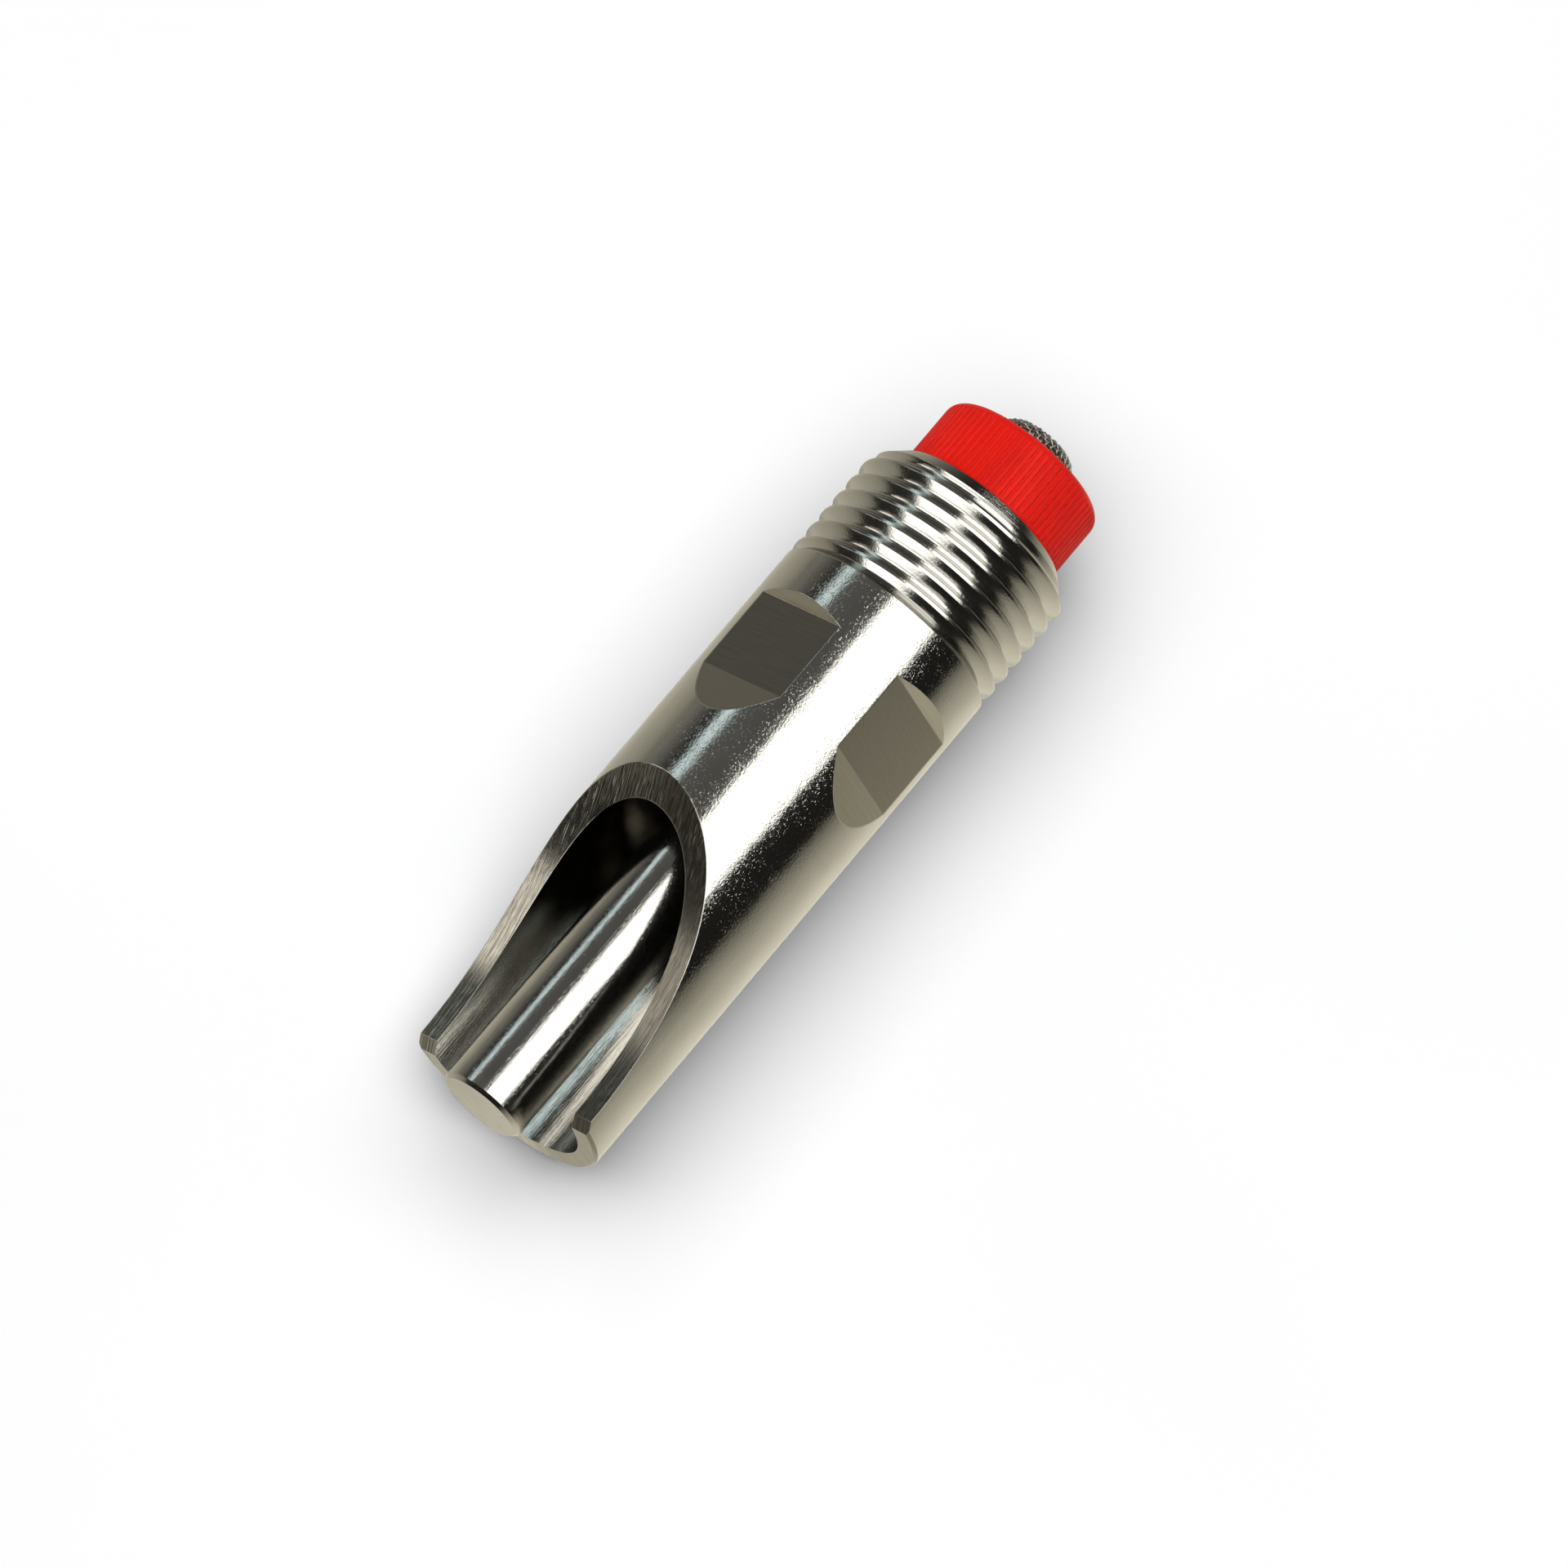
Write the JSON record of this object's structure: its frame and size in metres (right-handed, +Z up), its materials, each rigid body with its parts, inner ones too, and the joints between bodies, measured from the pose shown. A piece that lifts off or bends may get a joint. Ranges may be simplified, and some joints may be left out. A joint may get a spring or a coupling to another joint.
{
  "type": "bite nipple drinker",
  "caption": "Stainless bite nipple drinker for livestock: scooped mouth, sprung round bite pin, spanner flats, male pipe thread and a red ribbed filter plug with a mesh screen.",
  "frame": {"origin": "on the drinker's axis, at the plane where the inlet thread begins", "axes": "+X along the axis into the water pipe, +Z up as the drinker lies on a table; the mouth opens 28 degrees round the axis from +Z towards +Y"},
  "size_m": [0.0767, 0.021, 0.021],
  "materials": {
    "barrel_steel": "polished turned stainless with fine marks; milled flats and cut faces are duller",
    "pin_steel": "polished round stainless bar with a faced end",
    "seal_rubber": "black moulded rubber, satin",
    "spring_steel": "drawn stainless spring wire",
    "retainer_steel": "turned stainless, satin",
    "red_plastic": "bright red moulded plastic, semi-gloss",
    "screen_wire": "woven fine stainless wire",
    "disc_plastic": "natural white plastic, satin"
  },
  "bodies": {
    "housing": {"drinker_body": "barrel_steel", "seat_seal": "seal_rubber", "spring_retainer": "retainer_steel"},
    "spring_carrier": {"return_spring": "spring_steel"},
    "nipple": {"bite_pin": "pin_steel"},
    "strainer": {"filter_plug": "red_plastic", "plug_o_ring": "seal_rubber", "filter_screen": "screen_wire", "screen_ring": "red_plastic", "flow_disc": "disc_plastic"}
  },
  "joints": [
    {"name": "pin_push", "type": "slide", "parent": "housing", "child": "spring_carrier", "axis": [1, 0, 0], "range_m": [0, 0.002], "stiffness_N_per_m": 1500, "springref_m": -0.006, "deforming": ["return_spring"]},
    {"name": "pin_tilt", "type": "hinge", "parent": "spring_carrier", "child": "nipple", "pos_m": [-0.0164, 0.00282, 0.0053], "axis": [0, -0.8829, 0.4695], "range_deg": [0, 6], "stiffness_Nm_per_rad": 0.06, "springref_deg": -51.57},
    {"name": "plug_pull", "type": "slide", "parent": "housing", "child": "strainer", "axis": [1, 0, 0], "range_m": [0, 0.0125]}
  ]
}
